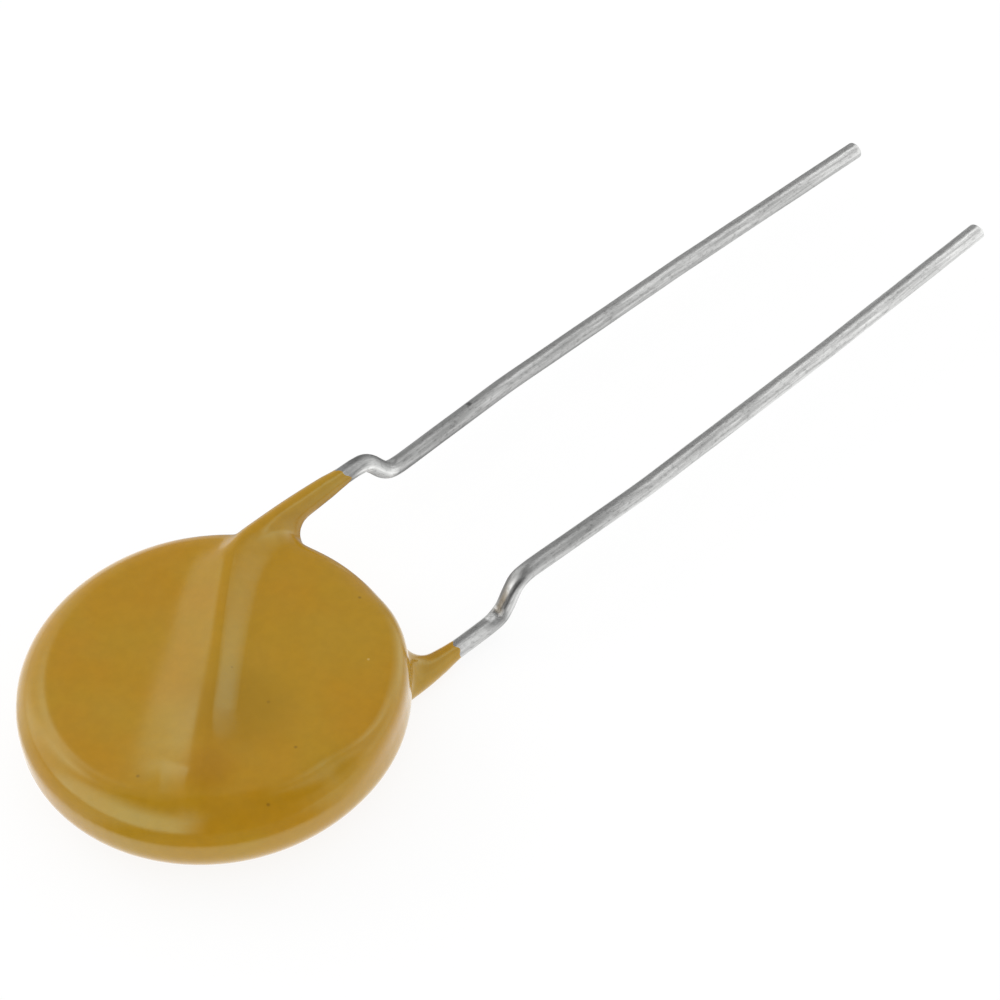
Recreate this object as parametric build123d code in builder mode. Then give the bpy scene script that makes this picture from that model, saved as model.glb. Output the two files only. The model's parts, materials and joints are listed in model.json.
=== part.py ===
"""Disc varistor lying flat: a soldered ceramic disc with two kinked wire leads, dipped in an epoxy skin."""
import os
from math import cos, radians, sin, sqrt, tan

from build123d import *

os.makedirs("parts", exist_ok=True)

# Ceramic disc
ceramic_d = 13.4
ceramic_t = 2.1
ceramic_edge_r = 0.2

# Fired silver electrodes, one on each face, with a ring of bare ceramic round them
electrode_margin = 0.5
electrode_t = 0.03

# Solder under and beside each wire
solder_film = 0.03
solder_foot_w = 1.7
solder_sag = 0.08
solder_lead_in = 0.3
solder_tail = 0.4
solder_grip_share = 0.9
solder_grip_angle = 20.0

# Wire leads: the run soldered across the face, the kink and the free legs
wire_d = 0.7
lead_pitch = 7.5
lead_reach = 37.15
run_turn = 43.4
run_bend_r = 2.0
run_bend_inset = 0.45
run_end_margin = 1.2
kink_run = 0.9
kink_r = 0.8
front_neck = 1.07
rear_neck = 2.2
leg_splay = 0.17
leg_tip_in = 0.35
leg_bend_r = 20.0
leg_splay_share = 0.25
leg_set_share = 0.61
tip_edge_r = 0.08

# Epoxy skin over the disc, over the soldered wires and up the leads
face_skin = 0.52
rim_skin = 0.585
wire_skin = 0.2
sleeve_lip = 0.05
sleeve_end_slope_share = 0.06
front_climb = 3.6
rear_climb = 2.32
rim_round_share = 0.86
meniscus_r = 1.0

# Sizes that follow from those above
ceramic_r = ceramic_d / 2
electrode_r = ceramic_r - electrode_margin
electrode_z = ceramic_t / 2 + electrode_t
wire_r = wire_d / 2
lead_x = -lead_pitch / 2
lead_z = electrode_z + solder_film + wire_r
coat_r = ceramic_r + rim_skin
coat_t = 2 * (electrode_z + face_skin)
rim_round = rim_round_share * coat_t / 2
ridge_r = wire_r + wire_skin
rim_y = sqrt(coat_r**2 - lead_x**2)
bend_y = sqrt(electrode_r**2 - lead_x**2) - run_bend_inset

# The part lies on the crest of its rear ridge, centred over the middle of its length
disc_center = (0, (coat_r - lead_reach) / 2, lead_z + ridge_r)
front = Plane(disc_center)
rear = Plane(disc_center, x_dir=-front.x_dir, z_dir=-front.z_dir)

# The soldered run, on either face: from its bend near the rim, past the disc's centre, to its inner end
run_direction = Vector(sin(radians(run_turn)), -cos(radians(run_turn)))
run_bend = Vector(lead_x, bend_y, lead_z)
run_along = -run_bend.dot(run_direction)
run_reach = electrode_r - run_end_margin
run_off_center = run_bend.X * run_direction.Y - run_bend.Y * run_direction.X
run_length = run_along + sqrt(run_reach**2 - run_off_center**2)
run_end = run_bend + run_direction * run_length
run_points = (tuple(run_end), tuple(run_bend))


def make_lead(side, climb, neck):
    """One wire: inner run, kink down to the disc's middle plane, and a leg with its gentle set."""
    kink_y = rim_y + climb + neck
    seat_y = kink_y + kink_run
    leg = lead_reach - seat_y
    splay = (lead_x - leg_splay, seat_y + leg_splay_share * leg)
    middle = (lead_x, seat_y + leg_set_share * leg)
    tip = (lead_x + leg_tip_in, lead_reach)
    radii = (run_bend_r, kink_r, kink_r, leg_bend_r, leg_bend_r)
    with BuildPart() as lead:
        with BuildLine(side) as route:
            FilletPolyline(
                *run_points, (lead_x, kink_y, lead_z), (lead_x, seat_y), splay, middle, tip,
                radius=radii,
            )
        path = route.wire()
        with BuildSketch(Plane(path @ 0, z_dir=path % 0)):
            Circle(wire_r)
        sweep(path=path)
        fillet(lead.edges().filter_by(GeomType.CIRCLE).sort_by(Axis.Y)[-1], radius=tip_edge_r)
    return lead


def make_solder(side, lead):
    """The solder bead along a wire's run, drawn up its sides and seated on the electrode."""
    start = run_bend_r * tan(radians(run_turn / 2)) + solder_lead_in
    length = run_length - start - solder_tail
    across = Vector(0, 0, 1).cross(run_direction)
    section_at = run_bend + run_direction * start
    section = Plane(section_at, x_dir=across, z_dir=run_direction)
    grip = solder_grip_share * wire_r
    grip_x = grip * cos(radians(solder_grip_angle))
    grip_y = grip * sin(radians(solder_grip_angle))
    foot = (solder_foot_w / 2, electrode_z - lead_z)
    with BuildPart() as solder:
        with BuildSketch(side * section.location):
            with BuildLine():
                Line((-foot[0], foot[1]), foot)
                SagittaArc(foot, (grip_x, grip_y), solder_sag)
                Line((grip_x, grip_y), (-grip_x, grip_y))
                SagittaArc((-grip_x, grip_y), (-foot[0], foot[1]), solder_sag)
            make_face()
        extrude(amount=length)
        add(lead.part, mode=Mode.SUBTRACT)
    return solder


def make_ridge(side, climb):
    """The skin over one wire: a rounded ridge across the face and a sleeve tapering up the lead."""
    sleeve_end_r = wire_r + sleeve_lip
    sleeve_end = rim_y + climb
    sleeve_axis = Plane(side.from_local_coords((lead_x, 0, lead_z)), x_dir=side.x_dir, z_dir=side.z_dir)
    with BuildPart() as ridge:
        with BuildLine(side) as route:
            FilletPolyline(*run_points, (lead_x, rim_y, lead_z), radius=run_bend_r)
        path = route.wire()
        with BuildSketch(Plane(path @ 0, z_dir=path % 0)):
            Circle(ridge_r)
        sweep(path=path)
        with BuildSketch(sleeve_axis):
            with BuildLine():
                Polyline((0, sleeve_end), (0, rim_y), (ridge_r, rim_y))
                Spline(
                    (ridge_r, rim_y), (sleeve_end_r, sleeve_end),
                    tangents=((0, 1), (-sleeve_end_slope_share, 1)),
                )
                Line((sleeve_end_r, sleeve_end), (0, sleeve_end))
            make_face()
        revolve(axis=Axis(sleeve_axis.origin, sleeve_axis.y_dir))
        with Locations(side.from_local_coords(run_end)):
            Sphere(ridge_r)
    return ridge


# Ceramic disc
with BuildPart() as ceramic_disc:
    with BuildSketch(front.offset(-ceramic_t / 2)):
        Circle(ceramic_r)
    extrude(amount=ceramic_t)
    fillet(ceramic_disc.edges().filter_by(GeomType.CIRCLE), radius=ceramic_edge_r)

# Electrodes
with BuildPart() as front_electrode:
    with BuildSketch(front.offset(ceramic_t / 2)):
        Circle(electrode_r)
    extrude(amount=electrode_t)

with BuildPart() as rear_electrode:
    with BuildSketch(rear.offset(ceramic_t / 2)):
        Circle(electrode_r)
    extrude(amount=electrode_t)

# Leads and their solder
front_lead = make_lead(front, front_climb, front_neck)
rear_lead = make_lead(rear, rear_climb, rear_neck)
front_solder = make_solder(front, front_lead)
rear_solder = make_solder(rear, rear_lead)

# Epoxy skin: disc, then each ridge with the resin drawn into its corners, less everything it covers
front_ridge = make_ridge(front, front_climb)
rear_ridge = make_ridge(rear, rear_climb)
with BuildPart() as epoxy_coating:
    with BuildSketch(front.offset(-coat_t / 2)):
        Circle(coat_r)
    extrude(amount=coat_t)
    fillet(epoxy_coating.edges().filter_by(GeomType.CIRCLE), radius=rim_round)
    for ridge in (front_ridge, rear_ridge):
        add(ridge.part)
        fillet(epoxy_coating.edges(Select.NEW), radius=meniscus_r)
    for covered in (ceramic_disc, front_electrode, rear_electrode, front_solder, rear_solder):
        add(covered.part, mode=Mode.SUBTRACT)
    for covered in (front_lead, rear_lead):
        add(covered.part, mode=Mode.SUBTRACT)

pieces = {
    "epoxy_coating": epoxy_coating,
    "ceramic_disc": ceramic_disc,
    "front_electrode": front_electrode,
    "rear_electrode": rear_electrode,
    "front_solder": front_solder,
    "rear_solder": rear_solder,
    "front_lead": front_lead,
    "rear_lead": rear_lead,
}
for name, piece in pieces.items():
    piece.part.label = name
    export_step(piece.part, f"parts/{name}.step")
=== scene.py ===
"""Looks of a disc varistor lying flat: dipped epoxy body, tinned wire leads and sealed inner pieces."""
import json
from math import cos, radians, sin, sqrt

import bmesh
import bpy
import numpy as np
from bpy.props import FloatProperty, FloatVectorProperty, IntProperty, PointerProperty
from mathutils import Matrix, Quaternion, Vector


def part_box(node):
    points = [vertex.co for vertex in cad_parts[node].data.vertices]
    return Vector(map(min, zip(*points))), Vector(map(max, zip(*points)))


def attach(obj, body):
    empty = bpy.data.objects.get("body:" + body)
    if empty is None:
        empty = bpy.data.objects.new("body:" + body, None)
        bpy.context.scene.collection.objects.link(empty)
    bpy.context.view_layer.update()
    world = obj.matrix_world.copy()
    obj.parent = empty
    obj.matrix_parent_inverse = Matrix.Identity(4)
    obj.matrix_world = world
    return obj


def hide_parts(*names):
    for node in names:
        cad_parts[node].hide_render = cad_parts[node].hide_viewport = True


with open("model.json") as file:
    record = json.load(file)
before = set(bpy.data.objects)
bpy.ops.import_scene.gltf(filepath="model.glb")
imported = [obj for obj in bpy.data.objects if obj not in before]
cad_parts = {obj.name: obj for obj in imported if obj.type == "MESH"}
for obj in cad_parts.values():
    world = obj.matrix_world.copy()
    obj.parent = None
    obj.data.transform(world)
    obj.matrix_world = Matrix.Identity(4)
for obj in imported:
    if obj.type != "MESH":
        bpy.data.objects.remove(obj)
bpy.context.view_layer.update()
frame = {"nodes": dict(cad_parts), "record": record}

bl_info = {
    "name": "Disc Varistor",
    "version": (1, 0, 0),
    "blender": (4, 5, 0),
    "location": "View3D > Sidebar > Varistor",
    "description": "Builds the finish of a dip-coated disc varistor round its CAD frame",
    "category": "Object",
}

BODY = "root"
MM = 0.001
DISC_LOW, DISC_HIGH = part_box("ceramic_disc")
DISC_CENTER = (DISC_LOW + DISC_HIGH) / 2
WIRE_RADIUS = frame["record"]["mounts"][0]["dims"]["r_mm"]

# Coated disc, seen from either face, in millimetres from its centre
COAT_RADIUS = 7.285
FACE_HEIGHT = 1.6
RIM_ROUND = 1.376
RUN_BEND = np.array((-3.75, 4.487))
RUN_TURN = radians(43.4)
SLEEVE_HEIGHT = 1.46
SLEEVE_ENDS = {1: 9.846, -1: 8.566}

# Ridge over a soldered wire, in millimetres: how far along the wire from its bend near the rim, then how far
# aside its foot and its crest lie on the left, and its crest and its foot on the right
RIDGE_SECTIONS = (
    (-1.5, 1.35, 0.40, 0.05, 1.38),
    (0.5, 1.35, 0.40, 0.02, 1.40),
    (1.7, 1.55, 0.42, 0.00, 1.06),
    (2.6, 1.70, 0.44, 0.00, 0.96),
    (3.8, 1.79, 0.42, 0.02, 0.88),
    (5.0, 1.95, 0.38, 0.04, 0.84),
    (6.5, 2.16, 0.41, 0.08, 0.82),
    (7.9, 2.32, 0.50, 0.10, 0.86),
    (9.3, 2.55, 0.56, 0.12, 1.45),
    (10.8, 2.45, 0.50, 0.20, 2.60),
    (12.4, 2.30, 0.40, 0.40, 3.00),
)
# Easing of the ridge: at its turn in the bend (millimetres), at its crest and its foot (shares of a flank)
BEND_EASE = 0.6
CREST_EASE, FOOT_EASE = 0.14, 0.3

# Fading end of the ridge: its slant to either side, the length of its slow sinking and the share sunk there
FADE_SLANT_RIGHT, FADE_REACH_RIGHT = 0.35, 0.8
FADE_SLANT_LEFT, FADE_START_LEFT, FADE_REACH_LEFT = 0.5, 0.5, 1.0
SINK_LENGTH, SINK_SHARE = 3.6, 0.32

# Resin web at the rim beside a bend, which is only ever raised: radii, place along the wire and aside of it
WEB_INNER = (5.9, 6.6)
WEB_OUTER = (7.7, 6.9)
WEB_ALONG = (2.0, 0.0)
WEB_ASIDE = (0.1, 0.45)
WEB_EASE = 0.015

# Where the CAD form stays: outside the bend, by place along the wire, and below the upper skin, by height
OUTER_BEND = (0.9, -0.5)
UPPER_SKIN = (0.8, 1.2)

# Squarer shoulder: distance from the rounding, and degrees round the disc where it starts and ends
SHOULDER_BAND = (0.6, 0.2)
SHOULDER_START, SHOULDER_END = (0, 25), (82, 57)

# Ragged sleeve end: its length, its reach round the wire, how far it draws back and how much it thins
FRAY_LENGTH, FRAY_REACH, FRAY_BACK, FRAY_THIN = 1.0, 1.0, 0.04, 0.5

# Length of the slow waves in the skin and in a wire, and their depth in a wire as a share of its radius
SKIN_WAVE, WIRE_WAVE, WIRE_WAVE_SHARE = 5.5, 2.3, 0.012

# Kink of a wire: curvatures between which a tool's press shows, curvature of a creased bend, the crease's
# width, the bulge beside a press, and the length and the side of a slanting cut tip
PRESS_CURVE, CREASE_CURVE, CREASE_WIDTH = (0.6, 1.1), 0.8, 0.07
PRESS_BULGE_SHARE = 0.35
TIP_SLANT_LENGTH, TIP_SLANT_SIDE = 1.0, (0.7, 0, -0.7)

# Dark specks in the skin, a painted shade beside the ridge, a spot of thin skin over the front wire's end
# and a pale speck, each x, y, z, radius
SPECKS = (
    (2.79, 0.48, 1.6, 0.1), (5.09, -0.2, 1.6, 0.1), (2.08, -5.06, 1.6, 0.11), (6.22, -2.49, 1.35, 0.1),
    (1.37, 6.12, 1.55, 0.1), (0.7, 0.52, 1.75, 0.08),
)
PAINTED_SHADE_BESIDE_RIDGE = (2.3, -0.5, 1.6, 3.0)
THIN_SPOT = (3.7, -3.1, 1.8, 1.3)
PALE_SPECK = (3.86, 4.36, 1.6, 0.08)

# Painted highlights, painted shade and dark scuffs near each lead's kink: from, to (millimetres from its
# first bend), facing at either end, half angle and tone
KINK_PAINTED_LIGHT_AND_SCUFFS = {
    "front_lead": (
        (-1.4, 1.7, (-0.2, 0, 0.98), (0.1, -0.3, 0.9), 65, -0.45),
        (-1.2, 2.2, (0.9, -0.2, -0.3), (0.8, -0.3, 0.0), 65, 1.0),
        (-1.5, 0.1, (0.9, 0, 0.1), (0.6, 0, 0.6), 17, -0.7),
        (1.3, 2.8, (0.35, -0.2, 0.9), (0.5, -0.2, 0.8), 28, -0.4),
        (5.8, 6.1, (-0.2, 0, 0.98), (-0.2, 0, 0.98), 28, -0.8),
    ),
    "rear_lead": (
        (-0.65, -0.02, (-0.1, 0, 0.985), (-0.1, 0, 0.985), 45, 1.0),
        (-0.1, 0.14, (-0.1, 0, 1), (-0.1, 0, 1), 45, -1.0),
        (0.08, 0.36, (-0.35, 0, 0.94), (-0.35, 0, 0.94), 28, 0.7),
        (0.05, 2.0, (0.35, -0.41, 0.85), (0.75, -0.3, 0.5), 24, -1.0),
        (0.4, 1.9, (-0.6, -0.3, 0.7), (-0.6, -0.3, 0.7), 50, -0.6),
        (-2.8, -0.3, (0.5, -0.3, 0.6), (0.6, -0.3, 0.5), 50, 0.5),
        (-0.2, 2.0, (0.8, -0.4, -0.3), (0.8, -0.4, -0.3), 50, 0.4),
    ),
}

# Soft panels as mirrored in the part: azimuth, half width, side edge, low, high, low edge, high edge and
# strength
PANELS = (
    (-110, 55, 8, 4, 54, 8, 20, 1.4),
    (-92, 37, 8, 4, 54, 8, 20, 1.4),
    (187, 25, 11, 0, 56, 8, 6, 0.65),
    (187, 25, 11, 38, 56, 10, 6, 0.8),
    (188, 22, 8, 46, 56, 8, 6, 0.9),
    (55, 50, 12, -30, 30, 8, 12, 0.5),
    (62, 38, 12, -30, 72, 8, 13, 1.15),
    (96, 20, 8, 12, 72, 6, 6, 0.55),
    (96, 18, 6, 48, 68, 6, 4, 0.3),
    (140, 60, 15, -60, 75, 10, 12, 0.35),
)

# Fill lamps that light only the matt share: azimuth, elevation, distance, size, power
FILLS = (
    (190, 22, 0.50, 0.4, 0.7),
    (-30, 10, 0.50, 0.4, 0.08),
)

# Floor as mirrored: azimuth, half width, edge, brightness taken away, and how far beyond the rim that starts
FLOOR_SHADES = (
    (-40, 43, 12, 1.4),
    (-110, 35, 12, 0.6),
    (122, 27, 12, 1.1),
)
FLOOR_FOOT = (1.9, 3.2)

# Floor's brightness to the lens, what mirrored and bounced light adds to it, and the share that bounces
FLOOR_WHITE, FLOOR_MIRRORED, FLOOR_BOUNCED, FLOOR_BOUNCE_SHARE = 1.03, 0.4, 0.5, 0.75
PAPER = (0.88, 0.88, 0.88, 1)


class EpoxySettings(bpy.types.PropertyGroup):
    """Mesh and colour of the dipped epoxy skin, lengths in millimetres."""

    voxel: FloatProperty(name="Voxel", description="Grid of the remeshed skin", default=0.08, min=0.03)
    smooth_steps: IntProperty(
        name="Smoothing", description="Rounds of smoothing over the remeshed skin", default=8, min=0)
    edge_angle: FloatProperty(
        name="Edge angle", description="Sharpest turn inside the outer skin", default=radians(50),
        subtype="ANGLE")
    ridge_height: FloatProperty(name="Ridge height", description="Crest above the face", default=0.41)
    ridge_fade: FloatProperty(name="Ridge fade", description="Where the ridge starts to sink", default=10.6)
    ridge_end: FloatProperty(name="Ridge end", description="Where the ridge is gone", default=12.6)
    crisp: FloatProperty(
        name="Crisp shoulder", description="How square the shoulder is towards the leads", default=2.0)
    sag: FloatProperty(name="Sag", description="Depth of the slow unevenness of the skin", default=0.012)
    color: FloatVectorProperty(
        name="Mustard", description="Colour of the cured resin", default=(0.41, 0.212, 0.009),
        subtype="COLOR", size=3, min=0, max=1)
    roughness: FloatProperty(
        name="Roughness", description="Gloss of the cured resin", default=0.15, min=0, max=1)


class WireSettings(bpy.types.PropertyGroup):
    """Mesh and colour of the two leads, lengths in millimetres."""

    sides: IntProperty(name="Sides", description="Points round the wire", default=36, min=8)
    step: FloatProperty(name="Step", description="Distance between rings along the wire", default=0.1)
    soft: FloatProperty(name="Soft bends", description="Rounding of the kinks along the wire", default=0.32)
    press: FloatProperty(name="Press", description="Depth of the flat inside a kink", default=0.07)
    crease: FloatProperty(name="Crease", description="Depth of the nick inside a kink", default=0.05)
    tip_round: FloatProperty(name="Tip rounding", description="Edge radius of the cut tip", default=0.1)
    color: FloatVectorProperty(
        name="Tin", description="Colour of the tinned wire", default=(0.57, 0.572, 0.565),
        subtype="COLOR", size=3, min=0, max=1)
    roughness: FloatProperty(
        name="Roughness", description="Dullness of the tin", default=0.4, min=0, max=1)


class StudioSettings(bpy.types.PropertyGroup):
    """Camera, floor and light."""

    azimuth: FloatProperty(
        name="Azimuth", description="Camera's turn about the vertical", default=radians(51.4),
        subtype="ANGLE")
    elevation: FloatProperty(
        name="Elevation", description="Camera's height angle", default=radians(47.582), subtype="ANGLE")
    roll: FloatProperty(
        name="Roll", description="Camera's turn about its own axis", default=radians(5.319),
        subtype="ANGLE")
    distance: FloatProperty(
        name="Distance", description="Camera to the plane through the disc", default=158.069 * MM,
        unit="LENGTH")
    aim_right: FloatProperty(
        name="Aim right", description="View axis to the right of the disc", default=10.502 * MM,
        unit="LENGTH")
    aim_up: FloatProperty(
        name="Aim up", description="View axis above the disc", default=7.18 * MM, unit="LENGTH")
    lens: FloatProperty(name="Lens", description="Focal length in millimetres", default=155.014)
    dome: FloatProperty(
        name="Dome", description="Even light of the white tent round the part", default=0.93)
    lean: FloatProperty(
        name="Lean", description="How much brighter the tent is on its bright side", default=0.2)
    lean_azimuth: FloatProperty(
        name="Lean azimuth", description="Where the tent's bright side is", default=radians(140),
        subtype="ANGLE")
    fill: FloatProperty(name="Fill", description="Common factor of the fill lamps", default=1.0)
    panels: FloatProperty(name="Panels", description="Common factor of the soft panels", default=1.06)
    floor_glow: FloatProperty(
        name="Floor glow", description="Share of the floor that is white whatever the light", default=0.85)


def settings():
    """The scene's three groups of settings."""
    scene = bpy.context.scene
    return scene.varistor_epoxy, scene.varistor_wire, scene.varistor_studio


def read_points(mesh):
    """A mesh's vertices as rows of numbers."""
    points = np.empty(len(mesh.vertices) * 3)
    mesh.vertices.foreach_get("co", points)
    return points.reshape(-1, 3)


def write_points(mesh, points):
    """Moves a mesh's vertices to the given rows."""
    mesh.vertices.foreach_set("co", points.ravel())
    mesh.update()


def smooth_step(low, high, value):
    """0 below low, 1 above high and an even passage between them."""
    share = np.clip((value - low) / (high - low), 0, 1)
    return share * share * (3 - 2 * share)


def soft_ramp(share, top_ease, foot_ease):
    """Falls from 1 at share 0 to 0 at share 1, with both corners eased."""
    def bend(value, ease):
        return (value + np.sqrt(value**2 + ease**2)) / 2
    return bend(1 - share, foot_ease) - bend(-share, top_ease)


def slow_waves(points, length):
    """Slow, even unevenness between -1 and 1 over points in millimetres."""
    rows = np.array((
        (0.81, 0.35, 0.47, 0.3), (-0.42, 0.88, 0.2, 2.1), (0.3, -0.55, 0.78, 4.0), (0.7, 0.7, -0.15, 5.2),
    ))
    return np.sin(points @ rows[:, :3].T * (2 * np.pi / length) + rows[:, 3]).mean(axis=1)


def add_piece(name, mesh, material, node):
    """Links a finished mesh that stands for a CAD node."""
    mesh.name = name
    mesh.materials.clear()
    mesh.materials.append(material)
    mesh.shade_smooth()
    piece = bpy.data.objects.new(name, mesh)
    bpy.context.scene.collection.objects.link(piece)
    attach(piece, BODY)
    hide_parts(node)
    return piece


class NodeDesk:
    """Short hand for laying out shader nodes in one tree."""

    def __init__(self, tree):
        self.tree = tree
        tree.nodes.clear()

    def add(self, kind, values=None, **options):
        node = self.tree.nodes.new(kind)
        for key, value in options.items():
            setattr(node, key, value)
        for key, value in (values or {}).items():
            self.put(node.inputs[key], value)
        return node

    def put(self, socket, value):
        if isinstance(value, bpy.types.NodeSocket):
            self.tree.links.new(value, socket)
        else:
            socket.default_value = value

    def math(self, operation, *values):
        return self.add("ShaderNodeMath", dict(enumerate(values)), operation=operation).outputs[0]

    def ramp(self, value, low, high, to_low=0.0, to_high=1.0):
        node = self.add("ShaderNodeMapRange", {
            "Value": value, "From Min": low, "From Max": high, "To Min": to_low, "To Max": to_high,
        }, interpolation_type="SMOOTHSTEP")
        return node.outputs["Result"]

    def noise(self, vector, scale, detail=3.0, roughness=0.55):
        node = self.add("ShaderNodeTexNoise", {
            "Vector": vector, "Scale": scale, "Detail": detail, "Roughness": roughness,
        })
        return node.outputs["Fac"]

    def scaled(self, color, factor):
        return self.add("ShaderNodeVectorMath", {0: color, "Scale": factor}, operation="SCALE").outputs[0]

    def blend(self, factor, first, second):
        node = self.add("ShaderNodeMix", {0: factor}, data_type="RGBA")
        self.put(node.inputs[6], first)
        self.put(node.inputs[7], second)
        return node.outputs[2]

    def sector(self, direction, azimuth, half_width, edge, strength):
        turned = self.add("ShaderNodeVectorRotate", {
            "Vector": direction, "Axis": (0, 0, 1), "Angle": radians(-azimuth),
        }, rotation_type="AXIS_ANGLE").outputs[0]
        parts = self.add("ShaderNodeSeparateXYZ", {0: turned}).outputs
        aside = self.math("ABSOLUTE", self.math("ARCTAN2", parts["Y"], parts["X"]))
        return self.ramp(aside, radians(half_width - edge), radians(half_width + edge), strength, 0.0)

    def spot(self, place, spot, strength):
        middle = DISC_CENTER + Vector(spot[:3]) * MM
        away = self.add("ShaderNodeVectorMath", {0: place, 1: middle}, operation="DISTANCE")
        return self.ramp(away.outputs["Value"], 0.2 * spot[3] * MM, spot[3] * MM, strength, 0.0)

    def surface(self, shader):
        output = self.add("ShaderNodeOutputMaterial")
        self.tree.links.new(shader.outputs[0], output.inputs["Surface"])


def new_material(name):
    """An empty node material and its desk."""
    material = bpy.data.materials.new(name)
    material.use_nodes = True
    return material, NodeDesk(material.node_tree)


def epoxy_material(epoxy):
    """Mustard resin: slight mottling, a few specks, a painted shade beside the ridge and a semi-gloss skin
    with fine unevenness.
    """
    material, desk = new_material("mustard_epoxy")
    place = desk.add("ShaderNodeTexCoord").outputs["Object"]
    cloud = desk.ramp(desk.noise(place, 260.0), 0.3, 0.7)
    grain = desk.ramp(desk.noise(place, 2600.0, 4.0), 0.25, 0.75, 0.96, 1.03)
    warm = (epoxy.color[0] * 1.02, epoxy.color[1] * 0.97, epoxy.color[2] * 0.8, 1)
    fresh = (epoxy.color[0] * 0.98, epoxy.color[1] * 1.03, epoxy.color[2] * 1.2, 1)
    tint = desk.scaled(desk.blend(cloud, warm, fresh), grain)
    speck = 0.0
    for spot in SPECKS:
        speck = desk.math("MAXIMUM", speck, desk.spot(place, spot, 0.55))
    tint = desk.blend(speck, tint, (0.16, 0.08, 0.008, 1))
    # Painted shade: the face darkened beside the ridge's right foot
    tint = desk.blend(desk.spot(place, PAINTED_SHADE_BESIDE_RIDGE, 0.5), tint, (0.3, 0.155, 0.0066, 1))
    tint = desk.blend(desk.spot(place, THIN_SPOT, 0.4), tint, (0.3, 0.13, 0.004, 1))
    tint = desk.blend(desk.spot(place, PALE_SPECK, 0.6), tint, (0.6, 0.42, 0.15, 1))
    skin = desk.add("ShaderNodeBump", {
        "Strength": 0.06, "Distance": 0.02 * MM, "Height": desk.noise(place, 1800.0, 2.0),
    })
    gloss = desk.ramp(desk.noise(place, 700.0), 0.3, 0.7, epoxy.roughness - 0.03, epoxy.roughness + 0.04)
    shader = desk.add("ShaderNodeBsdfPrincipled", {
        "Base Color": tint, "Roughness": gloss, "IOR": 1.5, "Specular Tint": (0.6, 1.0, 0.72, 1),
        "Normal": skin.outputs[0],
    })
    desk.surface(shader)
    return material


def tin_material(wire):
    """Dull tinned copper: drawing streaks along the wire, specks, a painted shade on each wire's upper side,
    and painted highlights, painted shade and dark scuffs at the kinks.
    """
    material, desk = new_material("tinned_wire")
    lay = desk.add("ShaderNodeAttribute", attribute_name="wire_lay").outputs["Vector"]
    pressed = desk.add("ShaderNodeAttribute", attribute_name="pressed").outputs["Fac"]
    long_lay = desk.add("ShaderNodeMapping", {"Vector": lay, "Scale": (2.6, 2.6, 0.35)}).outputs[0]
    short_lay = desk.add("ShaderNodeMapping", {"Vector": lay, "Scale": (3.5, 3.5, 5.0)}).outputs[0]
    streak = desk.noise(long_lay, 1.0, 5.0, 0.65)
    speck = desk.noise(short_lay, 1.0, 4.0, 0.6)
    shade = desk.ramp(streak, 0.3, 0.7, 0.72, 1.1)
    shade = desk.math("MULTIPLY", shade, desk.ramp(speck, 0.3, 0.5, 0.72, 1.0))
    # Painted shade: the upper side of each wire a little darker
    painted_shade_top = desk.add("ShaderNodeVectorMath", {0: lay, 1: (-0.5, -0.866, 0)}, operation="DOT_PRODUCT")
    shade = desk.math("MULTIPLY", shade, desk.ramp(painted_shade_top.outputs["Value"], 0.1, 0.9, 1.0, 0.92))
    length = desk.add("ShaderNodeSeparateXYZ", {0: lay}).outputs["Z"]
    shade = desk.math("MULTIPLY", shade, desk.ramp(length, 16.0, 40.0, 0.78, 1.05))
    shade = desk.math("MULTIPLY", shade, desk.ramp(pressed, 0.0, 1.0, 1.0, 1.1))
    # Painted highlights on the kinks' facets and undersides, painted shade along the creases and tops, and a
    # few dark scuffs: tones above 0 lighten, below 0 darken
    painted_light_and_scuff = desk.add("ShaderNodeAttribute", attribute_name="painted_light_and_scuff").outputs["Fac"]
    shade = desk.math("MULTIPLY", shade, desk.ramp(painted_light_and_scuff, 0.0, 1.0, 1.0, 2.1))
    shade = desk.math("MULTIPLY", shade, desk.ramp(painted_light_and_scuff, -1.0, 0.0, 0.35, 1.0))
    rough = desk.ramp(streak, 0.3, 0.7, wire.roughness + 0.1, wire.roughness - 0.08)
    rough = desk.math("ADD", rough, desk.math("MULTIPLY", pressed, 0.15))
    dents = desk.add("ShaderNodeBump", {"Strength": 0.25, "Distance": 0.02 * MM, "Height": speck})
    shader = desk.add("ShaderNodeBsdfPrincipled", {
        "Base Color": desk.scaled(tuple(wire.color), shade), "Metallic": 1.0, "Roughness": rough,
        "Normal": dents.outputs[0],
    })
    desk.surface(shader)
    return material


def inner_material(name, dark, pale, metallic, roughness, scale):
    """A sealed piece's finish: two tones in a fine grain."""
    material, desk = new_material(name)
    place = desk.add("ShaderNodeTexCoord").outputs["Object"]
    grain = desk.ramp(desk.noise(place, scale, 5.0, 0.65), 0.3, 0.7)
    rough = desk.ramp(grain, 0.0, 1.0, roughness + 0.08, roughness - 0.08)
    relief = desk.add("ShaderNodeBump", {"Strength": 0.3, "Distance": 0.02 * MM, "Height": grain})
    shader = desk.add("ShaderNodeBsdfPrincipled", {
        "Base Color": desk.blend(grain, (*dark, 1), (*pale, 1)), "Metallic": metallic, "Roughness": rough,
        "Normal": relief.outputs[0],
    })
    desk.surface(shader)
    return material


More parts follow.
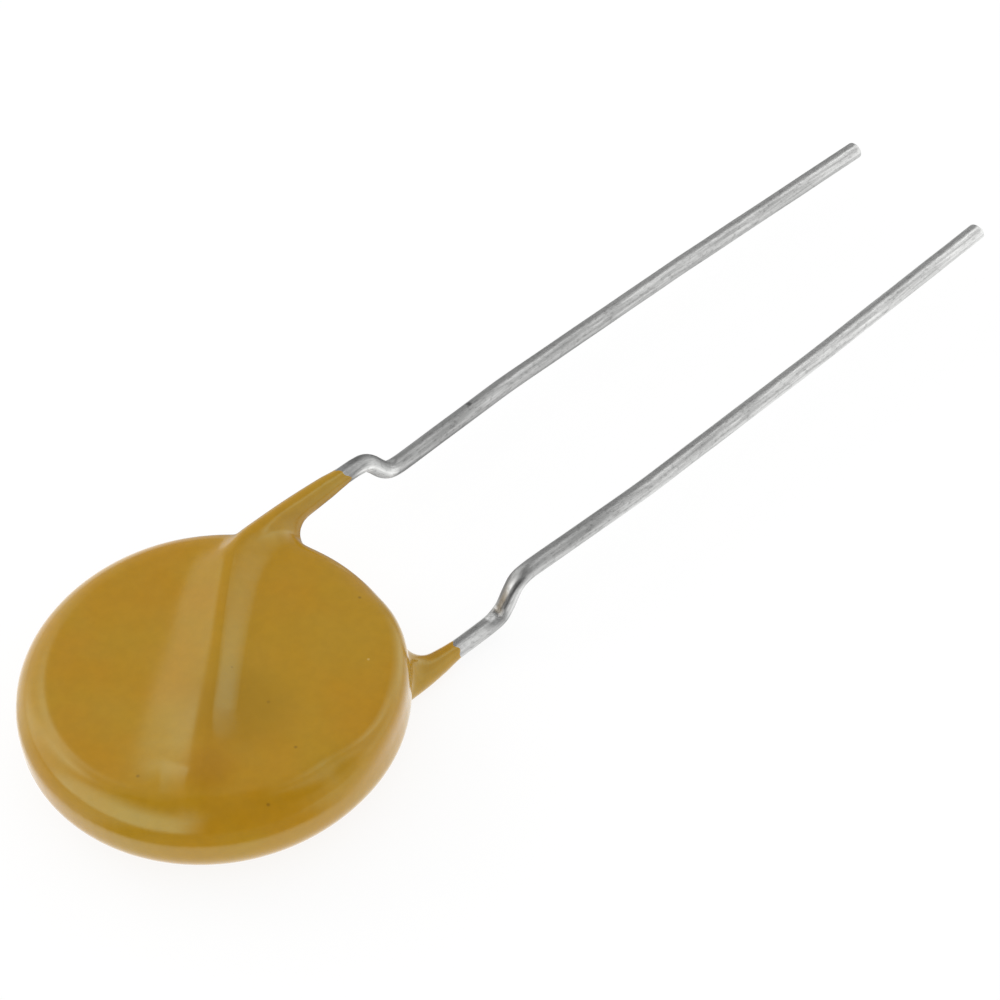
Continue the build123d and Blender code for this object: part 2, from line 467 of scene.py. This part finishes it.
def outer_skin(node, edge_angle):
    """The outside of a hollow CAD node, closed where the wires leave it, in millimetres."""
    bm = bmesh.new()
    bm.from_mesh(frame["nodes"][node].data)
    bmesh.ops.scale(bm, vec=(1 / MM,) * 3, verts=bm.verts)
    bmesh.ops.remove_doubles(bm, verts=bm.verts, dist=0.0005)
    bmesh.ops.dissolve_degenerate(bm, edges=bm.edges, dist=0.0001)
    start = max(bm.faces, key=lambda face: face.calc_center_median().z)
    skin, front = {start}, [start]
    while front:
        for edge in front.pop().edges:
            if len(edge.link_faces) == 2 and edge.calc_face_angle() < edge_angle:
                fresh = [face for face in edge.link_faces if face not in skin]
                skin.update(fresh)
                front.extend(fresh)
    bmesh.ops.delete(bm, geom=[face for face in bm.faces if face not in skin], context="FACES")
    bmesh.ops.holes_fill(bm, edges=[edge for edge in bm.edges if edge.is_boundary], sides=0)
    bmesh.ops.triangulate(bm, faces=bm.faces)
    mesh = bpy.data.meshes.new("skin")
    bm.to_mesh(mesh)
    bm.free()
    return mesh


def remeshed(mesh, voxel):
    """An even mesh over a closed skin."""
    form = bpy.data.objects.new("form", mesh)
    bpy.context.scene.collection.objects.link(form)
    remesh = form.modifiers.new("even", "REMESH")
    remesh.mode = "VOXEL"
    remesh.voxel_size = voxel
    graph = bpy.context.evaluated_depsgraph_get()
    even = bpy.data.meshes.new_from_object(form.evaluated_get(graph))
    bpy.data.objects.remove(form)
    return even


def smoothed(mesh, steps):
    """Rounds off the steps that a remesh leaves."""
    bm = bmesh.new()
    bm.from_mesh(mesh)
    for _ in range(steps):
        bmesh.ops.smooth_vert(
            bm, verts=bm.verts, factor=0.5, use_axis_x=True, use_axis_y=True, use_axis_z=True)
    bm.to_mesh(mesh)
    bm.free()


def soft_min(first, second, ease):
    """The lesser of two rows, with an eased passage from one to the other."""
    share = np.clip(0.5 + 0.5 * (second - first) / ease, 0, 1)
    return second + share * (first - second) - ease * share * (1 - share)


def ridge_share(along, aside):
    """How much of the ridge's height stands at a place beside it: 1 on the crest, 0 beyond its foot."""
    steps, *edges = zip(*RIDGE_SECTIONS)
    left_foot, left_crest, right_crest, right_foot = (np.interp(along, steps, edge) for edge in edges)
    foot = np.where(aside < 0, left_foot, right_foot)
    top = np.where(aside < 0, left_crest, right_crest)
    return soft_ramp((np.abs(aside) - top) / (foot - top), CREST_EASE, FOOT_EASE)


def crisp_shoulder(epoxy, points, side):
    """Squares one face's shoulder towards the leads, where the hanging resin drained thinner."""
    local = points * (side, 1, side)
    radius = np.hypot(local[:, 0], local[:, 1])
    turn = np.degrees(np.arctan2(local[:, 1], local[:, 0]))
    out, rise = radius - COAT_RADIUS + RIM_ROUND, local[:, 2] - FACE_HEIGHT + RIM_ROUND
    tilt = np.arctan2(np.maximum(out, 0), np.maximum(rise, 0.01))
    near = smooth_step(*SHOULDER_BAND, np.abs(np.hypot(out, rise) - RIM_ROUND)) * (out > 0) * (rise > 0)
    power = 2 + epoxy.crisp * near * smooth_step(*SHOULDER_START, turn) * smooth_step(*SHOULDER_END, turn)
    push = RIM_ROUND * ((np.sin(tilt)**power + np.cos(tilt)**power)**(-1 / power) - 1)
    grow = 1 + push * np.sin(tilt) / np.maximum(radius, 0.1)
    local[:, :2] *= grow[:, None]
    local[:, 2] += push * np.cos(tilt)
    return local * (side, 1, side)


def drape_face(epoxy, points, side):
    """Gives one face's ridge its uneven flanks and fading end; side is 1 for the front, -1 for the rear."""
    local = points * (side, 1, side)
    offset = local[:, :2] - RUN_BEND
    along = offset @ (sin(RUN_TURN), -cos(RUN_TURN))
    aside = soft_min(offset @ (cos(RUN_TURN), sin(RUN_TURN)), offset[:, 0], BEND_EASE)
    radius = np.hypot(local[:, 0], local[:, 1])
    beyond = np.clip(radius - COAT_RADIUS + RIM_ROUND, 0, RIM_ROUND)
    base = FACE_HEIGHT - RIM_ROUND + np.sqrt(RIM_ROUND**2 - beyond**2)
    place = along + FADE_SLANT_RIGHT * np.clip(aside, 0, FADE_REACH_RIGHT)
    place += FADE_SLANT_LEFT * np.clip(-FADE_START_LEFT - aside, 0, FADE_REACH_LEFT)
    sunk = smooth_step(epoxy.ridge_fade - SINK_LENGTH, epoxy.ridge_fade, place)
    gone = SINK_SHARE * sunk + (1 - SINK_SHARE) * smooth_step(epoxy.ridge_fade, epoxy.ridge_end, place)
    crest = FACE_HEIGHT + epoxy.ridge_height - base
    target = base + crest * (1 - gone) * ridge_share(along, aside)
    near_rim = smooth_step(*WEB_INNER, radius) * smooth_step(*WEB_ALONG, along)
    outer_bend = (aside < 0) * smooth_step(*OUTER_BEND, along)
    change = target - local[:, 2]
    raised = (change + np.sqrt(change**2 + WEB_EASE)) / 2 * smooth_step(*WEB_ASIDE, aside)
    change += near_rim * (raised * smooth_step(*WEB_OUTER, radius) - change)
    local[:, 2] += (1 - outer_bend) * smooth_step(*UPPER_SKIN, local[:, 2]) * change
    return local * (side, 1, side)


def fray_sleeve(points, side):
    """Thins the end of one sleeve to an uneven meniscus on the wire."""
    local = points * (side, 1, side)
    out = local[:, (0, 2)] - (RUN_BEND[0], SLEEVE_HEIGHT)
    reach = np.hypot(out[:, 0], out[:, 1])
    turn = np.arctan2(out[:, 1], out[:, 0])
    end = SLEEVE_ENDS[side]
    share = smooth_step(end - FRAY_LENGTH, end, local[:, 1]) * (reach < FRAY_REACH)
    ragged = 0.09 * np.cos(turn + 0.6) + 0.06 * np.sin(2 * turn + 1.3) + 0.05 * np.sin(5 * turn + 0.4)
    local[:, 1] += share * (ragged - FRAY_BACK)
    coat = np.maximum(reach - WIRE_RADIUS, 0) / np.maximum(reach, WIRE_RADIUS)
    thin = 1 - FRAY_THIN * share * coat
    local[:, (0, 2)] = out * thin[:, None] + (RUN_BEND[0], SLEEVE_HEIGHT)
    return local * (side, 1, side)


class VARISTOR_OT_epoxy(bpy.types.Operator):
    """Builds the dipped epoxy skin over the disc, the wires and the start of the leads"""

    bl_idname = "varistor.epoxy"
    bl_label = "Epoxy coating"

    def execute(self, context):
        epoxy = settings()[0]
        mesh = remeshed(outer_skin("epoxy_coating", epoxy.edge_angle), epoxy.voxel)
        smoothed(mesh, epoxy.smooth_steps)
        center = np.array(DISC_CENTER) / MM
        points = read_points(mesh) - center
        for side in (1, -1):
            points = drape_face(epoxy, points, side)
            points = crisp_shoulder(epoxy, points, side)
            points = fray_sleeve(points, side)
        normals = np.empty(len(points) * 3)
        mesh.vertices.foreach_get("normal", normals)
        points += normals.reshape(-1, 3) * (epoxy.sag * (slow_waves(points, SKIN_WAVE) - 1))[:, None]
        write_points(mesh, (points + center) * MM)
        add_piece("epoxy_skin", mesh, epoxy_material(epoxy), "epoxy_coating")
        return {"FINISHED"}


def unit(rows):
    """Rows scaled to length one."""
    return rows / np.linalg.norm(rows, axis=-1, keepdims=True)


def lead_center_line(node):
    """Points along the middle of a CAD lead, from its inner end to its cut tip, in millimetres."""
    mesh = frame["nodes"][node].data
    points = read_points(mesh) / MM
    pairs = np.array([edge.vertices[:] for edge in mesh.edges])
    start, end = points[pairs[:, 0]], points[pairs[:, 1]]
    low, high = points[:, 1].min(), points[:, 1].max()
    inset = 1.3 * WIRE_RADIUS
    levels = np.arange(low + inset, high - inset, WIRE_RADIUS / 4)
    line = np.stack([0 * levels, levels, 0 * levels], axis=1)
    aims = np.tile((0.0, 1.0, 0.0), (len(line), 1))
    reach = high - low
    for _ in range(4):
        for index, (here, aim) in enumerate(zip(line.copy(), aims)):
            before, after = (start - here) @ aim, (end - here) @ aim
            cut = before * after < 0
            share = before[cut] / (before[cut] - after[cut])
            ring = start[cut] + share[:, None] * (end[cut] - start[cut])
            ring = ring[np.linalg.norm(ring - here, axis=1) < reach]
            across = unit(np.cross(aim, (0.31, 0.2, 0.93)))
            for axis in (across, np.cross(aim, across)):
                spread = (ring - here) @ axis
                line[index] += axis * (spread.max() + spread.min()) / 2
        aims = unit(np.gradient(line, axis=0))
        reach = 2 * WIRE_RADIUS
    first = line[0] - aims[0] * (line[0, 1] - low - WIRE_RADIUS * sqrt(1 - aims[0, 1]**2)) / aims[0, 1]
    last = line[-1] + aims[-1] * (high - WIRE_RADIUS * sqrt(1 - aims[-1, 1]**2) - line[-1, 1]) / aims[-1, 1]
    return np.vstack([first, line, last])


def along_line(line, places):
    """Points at the given distances along a line."""
    lengths = np.concatenate([[0], np.cumsum(np.linalg.norm(np.diff(line, axis=0), axis=1))])
    return np.stack([np.interp(places, lengths, line[:, axis]) for axis in range(3)], axis=1), lengths[-1]


def softened(line, step, width):
    """A line with its bends eased over the given width."""
    total = along_line(line, [0])[1]
    even = along_line(line, np.linspace(0, total, int(total / step)))[0]
    count = int(3 * width / step)
    weights = np.exp(-0.5 * (np.arange(-count, count + 1) * step / width)**2)
    ends = np.arange(count, 0, -1)[:, None]
    before = even[0] + (even[0] - even[1]) * ends
    after = even[-1] + (even[-1] - even[-2]) * ends[::-1]
    padded = np.vstack([before, even, after])
    weights /= weights.sum()
    return np.stack([np.convolve(padded[:, axis], weights, "valid") for axis in range(3)], axis=1)


def painted_light_and_scuff_tone(painted_lights_and_scuffs, place, out, aim):
    """How much brighter or darker the painted highlights, painted shade and scuffs make one ring of the
    wire.
    """
    tone = np.zeros(len(out))
    for low, high, first, last, half_angle, amount in painted_lights_and_scuffs:
        share = (place - low) / (high - low)
        if 0 < share < 1:
            facing = np.array(first) + share * np.subtract(last, first)
            facing = unit(facing - aim * (facing @ aim))
            angle = np.degrees(np.arccos(np.clip(out @ facing, -1, 1)))
            ends = smooth_step(0, 0.3, share) * smooth_step(1, 0.7, share)
            tone += amount * ends * smooth_step(half_angle, 0.3 * half_angle, angle)
    return np.clip(tone, -1, 1)


def wire_rings(wire, line, slant, painted_lights_and_scuffs):
    """Rings of points round a line: their places, how far along, how hard a tool pressed, and the painted
    highlights, painted shade and scuffs.
    """
    total = along_line(line, [0])[1]
    tip = total - wire.tip_round * (1 - np.sin(np.linspace(0, np.pi / 2, 6)))
    places = np.concatenate([np.linspace(0, tip[0], int(total / wire.step))[:-1], tip])
    middle = along_line(line, places)[0]
    aims = unit(np.gradient(middle, places, axis=0))
    bends = np.gradient(aims, places, axis=0)
    bends[places > total - 1] = 0
    curve = np.linalg.norm(bends, axis=1)
    inward = bends / np.maximum(curve, 1e-6)[:, None]
    pressed = smooth_step(*PRESS_CURVE, curve)
    turns = np.arange(wire.sides) * 2 * np.pi / wire.sides
    side = unit(np.cross(aims[0], (0, 0, 1)))
    rings = np.empty((len(places), wire.sides, 3))
    tones = np.zeros((len(places), wire.sides))
    peaks = [place for index, place in enumerate(places[1:-1], 1)
             if curve[index] > CREASE_CURVE and curve[index] >= curve[index - 1:index + 2].max()]
    for index, (here, aim) in enumerate(zip(middle, aims)):
        side = unit(side - aim * (side @ aim))
        out = np.cos(turns)[:, None] * side + np.sin(turns)[:, None] * np.cross(aim, side)
        inner = out @ inward[index]
        hollow = np.maximum(inner, 0)
        radius = WIRE_RADIUS * (1 + WIRE_WAVE_SHARE * slow_waves(here + out * 0.8, WIRE_WAVE))
        radius = radius - wire.press * pressed[index] * (hollow**2 - PRESS_BULGE_SHARE * (1 - inner**2))
        nick = sum(np.exp(-((places[index] - peak) / CREASE_WIDTH)**2) for peak in peaks)
        radius = radius - wire.crease * nick * hollow**3
        left = total - places[index]
        if left < wire.tip_round:
            radius = radius - wire.tip_round + sqrt(max(wire.tip_round**2 - (wire.tip_round - left)**2, 0))
        near_tip = smooth_step(TIP_SLANT_LENGTH, 0.0, np.array(left))
        back = slant * near_tip * (1 - out @ np.array(TIP_SLANT_SIDE))
        rings[index] = here + out * radius[:, None] - aim * back[:, None]
        tones[index] = painted_light_and_scuff_tone(painted_lights_and_scuffs, places[index] - peaks[0], out, aim)
    return rings, turns, places, pressed, tones


class VARISTOR_OT_leads(bpy.types.Operator):
    """Builds the two tinned wire leads with their kinks, pressed flats, painted highlights, painted shade
    and scuffs, and cut tips
    """

    bl_idname = "varistor.leads"
    bl_label = "Wire leads"

    def execute(self, context):
        wire = settings()[1]
        material = tin_material(wire)
        for name, node, slant in (("front_wire", "front_lead", 0.02), ("rear_wire", "rear_lead", 0.05)):
            line = softened(lead_center_line(node), wire.step / 2, wire.soft)
            rings, turns, places, pressed, tones = wire_rings(wire, line, slant, KINK_PAINTED_LIGHT_AND_SCUFFS[node])
            bm = bmesh.new()
            lay = bm.verts.layers.float_vector.new("wire_lay")
            press = bm.verts.layers.float.new("pressed")
            painted_light_and_scuff = bm.verts.layers.float.new("painted_light_and_scuff")
            bmesh.ops.create_grid(bm, x_segments=len(places) - 1, y_segments=wire.sides, size=0.5)
            for vert in bm.verts:
                ring = round((vert.co.x + 0.5) * (len(places) - 1))
                turn = round((vert.co.y + 0.5) * wire.sides) % wire.sides
                vert.co = rings[ring, turn]
                vert[lay] = (cos(turns[turn]), sin(turns[turn]), places[ring])
                vert[press] = pressed[ring]
                vert[painted_light_and_scuff] = tones[ring, turn]
            bmesh.ops.remove_doubles(bm, verts=bm.verts, dist=0.0005)
            bmesh.ops.holes_fill(bm, edges=[edge for edge in bm.edges if edge.is_boundary], sides=0)
            bmesh.ops.recalc_face_normals(bm, faces=bm.faces)
            bmesh.ops.scale(bm, vec=(MM,) * 3, verts=bm.verts)
            mesh = bpy.data.meshes.new(name)
            bm.to_mesh(mesh)
            bm.free()
            add_piece(name, mesh, material, node)
        return {"FINISHED"}


class VARISTOR_OT_inner(bpy.types.Operator):
    """Finishes the sealed inner pieces: ceramic, silver and solder"""

    bl_idname = "varistor.inner"
    bl_label = "Inner pieces"

    def execute(self, context):
        ceramic = inner_material("zinc_oxide", (0.045, 0.052, 0.048), (0.08, 0.09, 0.083), 0.0, 0.7, 3000.0)
        silver = inner_material("fired_silver", (0.62, 0.61, 0.58), (0.8, 0.79, 0.76), 0.8, 0.55, 2200.0)
        solder = inner_material("dull_solder", (0.45, 0.45, 0.46), (0.62, 0.62, 0.63), 1.0, 0.45, 1200.0)
        finishes = {
            "ceramic_disc": ceramic, "front_electrode": silver, "rear_electrode": silver,
            "front_solder": solder, "rear_solder": solder,
        }
        for node, material in finishes.items():
            mesh = frame["nodes"][node].data
            mesh.materials.clear()
            mesh.materials.append(material)
        return {"FINISHED"}


def camera_axes(studio):
    """Right, up and back of the camera."""
    back = Vector((
        sin(studio.azimuth) * cos(studio.elevation),
        -cos(studio.azimuth) * cos(studio.elevation),
        sin(studio.elevation),
    ))
    right = Vector((cos(studio.azimuth), sin(studio.azimuth), 0))
    up = back.cross(right)
    turn = Quaternion(back, -studio.roll)
    return turn @ right, turn @ up, back


def place_camera(scene, studio):
    """The camera that takes the picture."""
    right, up, back = camera_axes(studio)
    camera = bpy.data.objects.new("camera", bpy.data.cameras.new("camera"))
    scene.collection.objects.link(camera)
    camera.data.lens = studio.lens
    camera.data.sensor_width = 36.0
    camera.data.clip_start = 0.01
    camera.data.clip_end = 20.0
    place = DISC_CENTER + right * studio.aim_right + up * studio.aim_up + back * studio.distance
    camera.matrix_world = Matrix.Translation(place) @ Matrix((right, up, back)).transposed().to_4x4()
    scene.camera = camera


def make_floor(scene, studio):
    """A wide pale floor, white to the lens, that keeps the part's shadow and is uneven in reflections."""
    bm = bmesh.new()
    bmesh.ops.create_circle(bm, cap_ends=True, segments=64, radius=3.0)
    mesh = bpy.data.meshes.new("floor")
    bm.to_mesh(mesh)
    bm.free()
    material, desk = new_material("pale_floor")
    light_path = desk.add("ShaderNodeLightPath").outputs
    place = desk.add("ShaderNodeTexCoord").outputs["Object"]
    under_disc = (DISC_CENTER.x, DISC_CENTER.y, 0)
    spot = desk.add("ShaderNodeVectorMath", {0: place, 1: under_disc}, operation="SUBTRACT").outputs[0]
    reach = desk.add("ShaderNodeVectorMath", {0: spot}, operation="LENGTH").outputs["Value"]
    away = desk.ramp(reach, *((COAT_RADIUS + foot) * MM for foot in FLOOR_FOOT))
    shade = 0.0
    for azimuth, half_width, edge, taken in FLOOR_SHADES:
        shade = desk.math("ADD", shade, desk.sector(spot, azimuth, half_width, edge, taken))
    shade = desk.math("MULTIPLY", desk.math("MULTIPLY", shade, away), light_path["Is Glossy Ray"])
    paper = desk.add("ShaderNodeBsdfDiffuse", {"Color": PAPER})
    mirrored = desk.math("MULTIPLY", light_path["Is Glossy Ray"], FLOOR_MIRRORED)
    bounced = desk.math("MULTIPLY", light_path["Is Diffuse Ray"], FLOOR_BOUNCED)
    bright = desk.math("ADD", desk.math("ADD", FLOOR_WHITE, mirrored), bounced)
    glow = desk.add("ShaderNodeEmission", {
        "Color": (1, 1, 1, 1), "Strength": desk.math("SUBTRACT", bright, shade),
    })
    seen = desk.math("MAXIMUM", light_path["Is Camera Ray"], light_path["Is Glossy Ray"])
    seen = desk.math("MAXIMUM", seen, light_path["Is Transmission Ray"])
    bounce = desk.math("MULTIPLY", light_path["Is Diffuse Ray"], FLOOR_BOUNCE_SHARE)
    seen = desk.math("MAXIMUM", seen, bounce)
    share = desk.math("MULTIPLY", seen, studio.floor_glow)
    desk.surface(desk.add("ShaderNodeMixShader", {0: share, 1: paper.outputs[0], 2: glow.outputs[0]}))
    mesh.materials.append(material)
    floor = bpy.data.objects.new("floor", mesh)
    scene.collection.objects.link(floor)


def make_world(scene, studio):
    """A white tent for the matt share of each finish; soft panels and a dark camera side in reflections."""
    scene.world = bpy.data.worlds.new("studio")
    scene.world.use_nodes = True
    desk = NodeDesk(scene.world.node_tree)
    direction = desk.add("ShaderNodeTexCoord").outputs["Generated"]
    height = desk.math("ARCSINE", desk.add("ShaderNodeSeparateXYZ", {0: direction}).outputs["Z"])
    total = 0.0
    for azimuth, half_width, edge, low, high, low_edge, high_edge, strength in PANELS:
        panel = desk.sector(direction, azimuth, half_width, edge, strength * studio.panels)
        rise = desk.ramp(height, radians(low - low_edge), radians(low + low_edge))
        fall = desk.ramp(height, radians(high - high_edge), radians(high + high_edge), 1.0, 0.0)
        total = desk.math("ADD", total, desk.math("MULTIPLY", desk.math("MULTIPLY", panel, rise), fall))
    light_path = desk.add("ShaderNodeLightPath").outputs
    bright_side = (cos(studio.lean_azimuth) * studio.lean, sin(studio.lean_azimuth) * studio.lean, 0)
    lean = desk.add("ShaderNodeVectorMath", {0: direction, 1: bright_side}, operation="DOT_PRODUCT")
    tent = desk.math("MULTIPLY", desk.math("ADD", lean.outputs["Value"], 1.0), studio.dome)
    strength = desk.add("ShaderNodeMix", {0: light_path["Is Glossy Ray"], 2: tent, 3: total}).outputs[0]
    seen = desk.math("MAXIMUM", light_path["Is Camera Ray"], light_path["Is Transmission Ray"])
    strength = desk.add("ShaderNodeMix", {0: seen, 2: strength, 3: 1.0}).outputs[0]
    light = desk.add("ShaderNodeBackground", {"Color": (1, 1, 1, 1), "Strength": strength})
    output = desk.add("ShaderNodeOutputWorld")
    desk.tree.links.new(light.outputs[0], output.inputs["Surface"])


def make_fills(scene, studio):
    """Broad lamps for the matt share of each finish."""
    for number, (azimuth, elevation, distance, size, power) in enumerate(FILLS):
        lamp = bpy.data.lights.new(f"fill_{number}", "AREA")
        lamp.shape = "DISK"
        lamp.size = size
        lamp.energy = power * studio.fill
        turn, rise = radians(azimuth), radians(elevation)
        toward = Vector((cos(turn) * cos(rise), sin(turn) * cos(rise), sin(rise)))
        fill = bpy.data.objects.new(f"fill_{number}", lamp)
        fill.location = DISC_CENTER + toward * distance
        fill.rotation_euler = toward.to_track_quat("Z", "Y").to_euler()
        fill.visible_glossy = False
        scene.collection.objects.link(fill)


class VARISTOR_OT_studio(bpy.types.Operator):
    """Makes the camera, the pale floor and the soft light"""

    bl_idname = "varistor.studio"
    bl_label = "Studio"

    def execute(self, context):
        studio = settings()[2]
        place_camera(context.scene, studio)
        make_floor(context.scene, studio)
        make_world(context.scene, studio)
        make_fills(context.scene, studio)
        context.scene.view_settings.view_transform = "Standard"
        return {"FINISHED"}


class VARISTOR_PT_panel(bpy.types.Panel):
    """Lists the steps in the 3D view's sidebar"""

    bl_idname = "VARISTOR_PT_panel"
    bl_label = "Disc Varistor"
    bl_space_type = "VIEW_3D"
    bl_region_type = "UI"
    bl_category = "Varistor"

    def draw(self, context):
        for operator in OPERATORS:
            self.layout.operator(operator.bl_idname)


OPERATORS = (VARISTOR_OT_epoxy, VARISTOR_OT_leads, VARISTOR_OT_inner, VARISTOR_OT_studio)
GROUPS = {"varistor_epoxy": EpoxySettings, "varistor_wire": WireSettings, "varistor_studio": StudioSettings}
CLASSES = (*GROUPS.values(), *OPERATORS, VARISTOR_PT_panel)


def register():
    """Registers the classes and hangs the settings on the scene."""
    for cls in CLASSES:
        bpy.utils.register_class(cls)
    for name, group in GROUPS.items():
        setattr(bpy.types.Scene, name, PointerProperty(type=group))


def unregister():
    """Takes the settings and the classes away again."""
    for name in GROUPS:
        delattr(bpy.types.Scene, name)
    for cls in reversed(CLASSES):
        bpy.utils.unregister_class(cls)


def main():
    """Builds every piece and the stage."""
    register()
    bpy.ops.varistor.epoxy()
    bpy.ops.varistor.leads()
    bpy.ops.varistor.inner()
    bpy.ops.varistor.studio()


if __name__ == "__main__":
    main()
